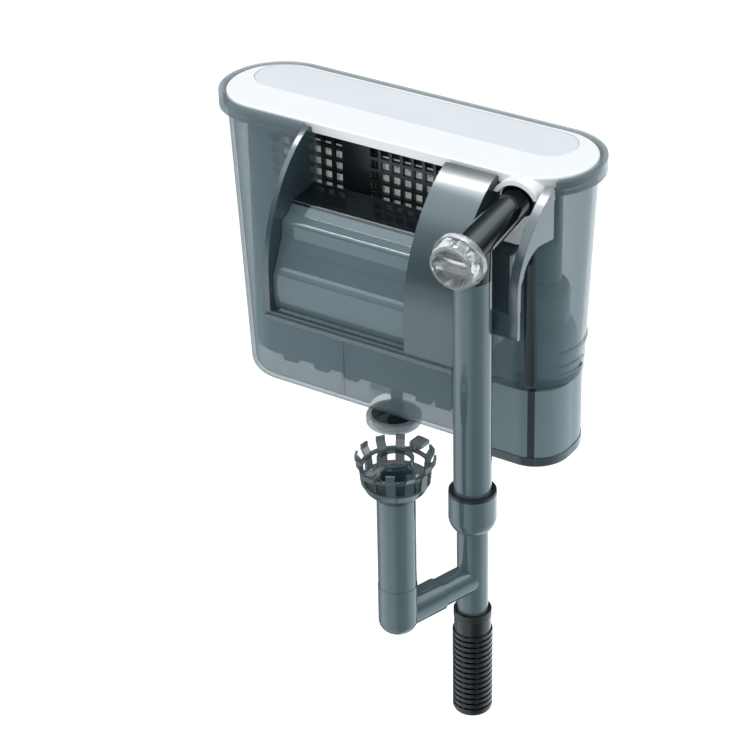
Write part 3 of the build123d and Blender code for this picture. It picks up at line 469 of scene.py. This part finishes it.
# each inner corner becomes an arc tangent to both sides: the turn angle gives the setback along the sides,
# and the arc is a quadratic blend between the two tangent points
def roundedLine(points, rounds, steps=9):
    points = np.array(points, float)
    pieces = [points[:1]]
    for i in range(1, len(points) - 1):
        into, out = points[i] - points[i - 1], points[i + 1] - points[i]
        into, out = into / np.linalg.norm(into), out / np.linalg.norm(out)
        bend = math.acos(max(-1.0, min(1.0, float(into @ out))))
        back = rounds[i] * math.tan(bend / 2)
        start, end = points[i] - into * back, points[i] + out * back
        t = np.linspace(0, 1, steps)[:, None]
        pieces.append(start * (1 - t) ** 2 + 2 * points[i] * t * (1 - t) + end * t ** 2)
    pieces.append(points[-1:])
    return np.concatenate(pieces)


# points every step of length along a line, plus the line's own points
def denserLine(line, step):
    lengths = np.r_[0, np.cumsum(np.linalg.norm(np.diff(line, axis=0), axis=1))]
    stops = np.unique(np.r_[lengths, np.arange(0, lengths[-1], step)])
    return np.stack([np.interp(stops, lengths, line[:, k]) for k in (0, 1)], -1)


def rampUp(value, edge, soft):
    t = np.clip((value - edge) / soft, 0, 1)
    return t * t * (3 - 2 * t)


# the closed shell is the line and its copy pushed outwards by the thickness, so it stands that much
# proud of the solid; a panel between the steps sinks by its depth
# where a corner has no radius its point repeats, so the copy has no direction there and falls on the origin
def makeSheet(name, points, rounds, material, look, panel=None):
    line = denserLine(roundedLine(points, rounds), look["alongStep"])
    along = np.gradient(line, axis=0)
    along /= np.linalg.norm(along, axis=1, keepdims=True)
    outward = np.stack([along[:, 1], -along[:, 0]], -1)
    loop = np.concatenate([line, (line + outward * look["thickness"])[::-1]])
    low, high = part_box("spillway")
    left, right = low.x / mm, high.x / mm
    across = np.unique(np.r_[np.arange(left, right, look["acrossStep"]), right])
    grid = np.zeros((len(loop), len(across), 3))
    grid[..., 0] = across[None, :]
    grid[..., 1], grid[..., 2] = loop[:, :1], loop[:, 1:]
    if panel:
        foot, top = panel["heights"]
        slantLow, slantHigh, end = panel["sides"]
        share = np.clip((top - grid[..., 2]) / (top - foot), 0, 1)
        side = slantLow + (slantHigh - slantLow) * (1 - share)
        soft = panel["soft"]
        inside = (rampUp(grid[..., 0], side, soft) * rampUp(-grid[..., 0], -end, soft)
                  * rampUp(grid[..., 2], foot, soft) * rampUp(-grid[..., 2], -top, soft))
        grid[..., 1] += inside * panel["depth"]
    faces = wrappedFaces(len(loop), len(across))
    piece = makePiece(name, grid.reshape(-1, 3) * mm, faces, material, "case")
    closeEnds(piece.data)
    return piece


# doubles are merged, open ends filled and normals turned outwards, then edges that turn by more than the
# angle are marked sharp, so flat ends stay flat
def closeEnds(mesh, angle=40.0):
    work = bmesh.new()
    work.from_mesh(mesh)
    bmesh.ops.remove_doubles(work, verts=work.verts, dist=1e-6)
    bmesh.ops.holes_fill(work, edges=[e for e in work.edges if e.is_boundary], sides=0)
    bmesh.ops.recalc_face_normals(work, faces=work.faces)
    work.normal_update()
    for edge in work.edges:
        if len(edge.link_faces) == 2 and edge.calc_face_angle(0.0) > math.radians(angle):
            edge.smooth = False
    work.to_mesh(mesh)
    work.free()


spillSheet = makeSheet("spillwaySheet", spillwayLook["profile"], spillwayLook["rounds"],
                       finishes["smokeSpill"], spillwayLook, spillwayLook["panel"])
# the ledge takes its own finish of near-black painted shade
spillLedge = makeSheet("spillwayLedge", spillwayLook["ledge"], spillwayLook["ledgeRounds"],
                       finishes["ledgePaintedShade"], spillwayLook)
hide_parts("spillway")
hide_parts("spillway")
print("spillway made")


# filter pads: pressed fleece pillows with a sewn rectangle and a sewn line across the middle
padLook = {
    # lengths are in millimetres, except the voxel in metres; inset is how much smaller the pillow starts
    "inset": 0.8,
    "voxel": 0.0021,
    "pressure": 3.0,
    "stiffness": 20.0,
    "frames": 12,
    "cap": 0.9,
    "wallGap": 0.05,
    "pinch": 0.6,
    "seamInset": 5.2,
    "seamDepth": 0.9,
    "seamWidth": 1.3,
    "middle": 0.5,
    "dash": 2.3,
    "pitch": 3.5,
    "threadRadius": 0.22,
}


def readPoints(mesh):
    flat = np.zeros(len(mesh.vertices) * 3)
    mesh.vertices.foreach_get("co", flat)
    return flat.reshape(-1, 3) / mm


def applyModifiers(piece):
    graph = bpy.context.evaluated_depsgraph_get()
    baked = bpy.data.meshes.new_from_object(piece.evaluated_get(graph))
    piece.modifiers.clear()
    piece.data = baked


def seamHeight(low, high, look):
    return low.z / mm + (high.z - low.z) / mm * look["middle"]


# distance from each point to the sewn rectangle, or to the line across it, whichever is nearer
def seamDistance(x, z, low, high, look):
    inset = look["seamInset"]
    halfX, halfZ = (high.x - low.x) / mm / 2 - inset, (high.z - low.z) / mm / 2 - inset
    midX, midZ = (low.x + high.x) / mm / 2, (low.z + high.z) / mm / 2
    fromX, fromZ = np.abs(x - midX) - halfX, np.abs(z - midZ) - halfZ
    outside = np.hypot(np.maximum(fromX, 0), np.maximum(fromZ, 0))
    frameGap = np.where((fromX > 0) | (fromZ > 0), outside, -np.maximum(fromX, fromZ))
    lineGap = np.hypot(z - seamHeight(low, high, look), np.maximum(fromX, 0))
    return np.minimum(frameGap, lineGap)


def makePad(side, look):
    low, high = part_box("filter_pad_" + side)
    inset = look["inset"]
    a, b = low / mm + Vector((inset, inset, inset)), high / mm - Vector((inset, inset, inset))
    # start shape: a box, remeshed so that the cloth has even cells
    corners = np.array([(x, y, z) for x in (a.x, b.x) for y in (a.y, b.y) for z in (a.z, b.z)])
    sides = np.array([(0, 1, 3, 2), (4, 6, 7, 5), (0, 4, 5, 1), (2, 3, 7, 6), (0, 2, 6, 4), (1, 5, 7, 3)])
    pad = makePiece("fleecePad" + side.capitalize(), corners * mm, sides, fleece, "cartridge_" + side)
    remesh = pad.modifiers.new("even", "REMESH")
    remesh.mode, remesh.voxel_size = "VOXEL", look["voxel"]
    applyModifiers(pad)
    before = readPoints(pad.data)
    cloth = pad.modifiers.new("swell", "CLOTH")
    cloth.settings.use_pressure = True
    cloth.settings.uniform_pressure_force = look["pressure"]
    cloth.settings.effector_weights.gravity = 0.0
    cloth.settings.tension_stiffness = look["stiffness"]
    cloth.settings.compression_stiffness = look["stiffness"]
    for frameNumber in range(1, look["frames"] + 1):
        bpy.context.scene.frame_set(frameNumber)
    applyModifiers(pad)
    bpy.context.scene.frame_set(1)
    points = readPoints(pad.data)
    shift = points - before
    reach = np.linalg.norm(shift, axis=1, keepdims=True)
    points = before + shift * np.minimum(1.0, look["cap"] / np.maximum(reach, 1e-6))
    # the sewn lines pull both faces towards the middle
    midY = (a.y + b.y) / 2
    gap = seamDistance(points[:, 0], points[:, 2], low, high, look)
    pull = look["seamDepth"] * np.exp(-(gap / look["seamWidth"]) ** 2)
    offset = points[:, 1] - midY
    points[:, 1] -= np.sign(offset) * np.minimum(pull, np.abs(offset) * look["pinch"])
    # what swells past the pad's room is pressed flat against it
    wallGap = look["wallGap"]
    points = np.clip(points, np.array(low / mm) + wallGap, np.array(high / mm) - wallGap)
    pad.data.vertices.foreach_set("co", (points * mm).ravel())
    smoother = pad.modifiers.new("round", "SUBSURF")
    smoother.levels = smoother.render_levels = 1
    applyModifiers(pad)
    pad.data.polygons.foreach_set("use_smooth", np.ones(len(pad.data.polygons), bool))
    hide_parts("filter_pad_" + side)
    makeStitches(side, pad, low, high, midY, look)


# a dash is a six-sided spindle: rings of radius r*sin(pi*t)^0.5 at places t along its length,
# laid on the pad's surface where a ray from outside meets it
def makeStitches(side, pad, low, high, midY, look):
    tree = BVHTree.FromObject(pad, bpy.context.evaluated_depsgraph_get())
    inset = look["seamInset"]
    left, right = low.x / mm + inset, high.x / mm - inset
    foot, top = low.z / mm + inset, high.z / mm - inset
    lineZ = seamHeight(low, high, look)
    runs = [((left, foot), (right, foot)), ((right, foot), (right, top)), ((right, top), (left, top)),
            ((left, top), (left, foot)), ((left, lineZ), (right, lineZ))]
    t = np.linspace(0, 1, 5)
    turn = np.arange(6) * math.pi / 3
    ring = np.maximum(np.sin(math.pi * t), 0.08) ** 0.5 * look["threadRadius"]
    spindle = np.stack(np.broadcast_arrays((t[:, None] - 0.5) * look["dash"], ring[:, None] * np.cos(turn),
                                           ring[:, None] * np.sin(turn)), -1).reshape(-1, 3)
    ringFaces = np.array([(j * 6 + k, j * 6 + (k + 1) % 6, (j + 1) * 6 + (k + 1) % 6, (j + 1) * 6 + k)
                          for j in range(len(t) - 1) for k in range(6)])
    points, faces = [], []
    for (x0, z0), (x1, z1) in runs:
        length = math.hypot(x1 - x0, z1 - z0)
        ahead = np.array([(x1 - x0) / length, (z1 - z0) / length])
        for place in np.arange(look["pitch"] / 2, length, look["pitch"]):
            x, z = x0 + ahead[0] * place, z0 + ahead[1] * place
            for sign in (-1.0, 1.0):
                hit = tree.ray_cast(Vector((x, midY + sign * 20, z)) * mm, Vector((0, -sign, 0)))[0]
                if hit is None:
                    continue
                dash = np.zeros_like(spindle)
                dash[:, 0] = x + spindle[:, 0] * ahead[0] - spindle[:, 1] * ahead[1]
                dash[:, 2] = z + spindle[:, 0] * ahead[1] + spindle[:, 1] * ahead[0]
                dash[:, 1] = hit.y / mm + spindle[:, 2]
                faces.append(ringFaces + len(spindle) * len(points))
                points.append(dash)
    stitches = makePiece("padStitches" + side.capitalize(), np.concatenate(points) * mm,
                         np.concatenate(faces), finishes["thread"], "cartridge_" + side)
    closeEnds(stitches.data)


# felted fibres: the greater of two stretched noises is the height, and times a cloudy noise it is the shade
def fillFelt(group, entry):
    heights = []
    for turned in (0.0, 1.1):
        place = group.nodes.new("ShaderNodeMapping")
        place.inputs["Rotation"].default_value = (0.0, turned, 0.0)
        place.inputs["Scale"].default_value = (260.0, 1400.0, 1900.0)
        group.links.new(entry.outputs["Vector"], place.inputs["Vector"])
        fibre = addNode(group, "TexNoise", Scale=1.0, Detail=3.0, Roughness=0.6)
        group.links.new(place.outputs[0], fibre.inputs["Vector"])
        heights.append(fibre.outputs["Fac"])
    crossed = useMath(group, "MAXIMUM", *heights)
    cloud = addNode(group, "TexNoise", Scale=140.0, Detail=5.0, Roughness=0.65)
    group.links.new(entry.outputs["Vector"], cloud.inputs["Vector"])
    return {"Shade": useMath(group, "MULTIPLY", cloud.outputs["Fac"], crossed), "Height": crossed}


def makeFleece():
    felt = makeGroup("feltFibres", {}, {"Shade": "Float", "Height": "Float"}, fillFelt)
    material = bpy.data.materials.new("whiteFleeceWithPaintedGlow")
    material.use_nodes = True
    tree = material.node_tree
    shader = tree.nodes["Principled BSDF"]
    coords = tree.nodes.new("ShaderNodeTexCoord")
    fibres = useGroup(tree, felt, coords.outputs["Object"])
    mottle = tree.nodes.new("ShaderNodeValToRGB")
    marks = mottle.color_ramp.elements
    marks[0].position, marks[0].color = 0.12, (0.52, 0.53, 0.54, 1)
    marks[1].position, marks[1].color = 0.42, (0.86, 0.865, 0.87, 1)
    bump = addNode(tree, "Bump", Strength=0.5, Distance=0.0003)
    tree.links.new(fibres.outputs["Shade"], mottle.inputs[0])
    tree.links.new(mottle.outputs[0], shader.inputs["Base Color"])
    # painted light: the fleece also glows in its own colour, so that it shows bright behind the lattice
    tree.links.new(mottle.outputs[0], shader.inputs["Emission Color"])
    tree.links.new(fibres.outputs["Height"], bump.inputs["Height"])
    tree.links.new(bump.outputs["Normal"], shader.inputs["Normal"])
    shader.inputs["Roughness"].default_value = 0.95
    shader.inputs["Sheen Weight"].default_value = 0.3
    shader.inputs["Emission Strength"].default_value = 0.18
    return material


fleece = makeFleece()
for side in ("left", "right"):
    makePad(side, padLook)
print("pads made")


# a wide pale floor well below the part, which reflections don't see
def makeFloor(height, colour):
    mesh = bpy.data.meshes.new("studioFloor")
    side = 12.0
    corners = [(-side, -side, height), (side, -side, height), (side, side, height), (-side, side, height)]
    mesh.from_pydata(corners, [], [(0, 1, 2, 3)])
    floor = bpy.data.objects.new("studioFloor", mesh)
    bpy.context.scene.collection.objects.link(floor)
    material = bpy.data.materials.new("paleFloor")
    material.use_nodes = True
    shader = material.node_tree.nodes["Principled BSDF"]
    shader.inputs["Base Color"].default_value = (*colour, 1)
    shader.inputs["Roughness"].default_value = 0.9
    shader.inputs["Specular IOR Level"].default_value = 0.1
    shader.inputs["Emission Color"].default_value = (1, 1, 1, 1)
    shader.inputs["Emission Strength"].default_value = 0.25
    mesh.materials.append(material)
    floor.visible_glossy = False


makeFloor(-0.55, (0.9, 0.9, 0.9))
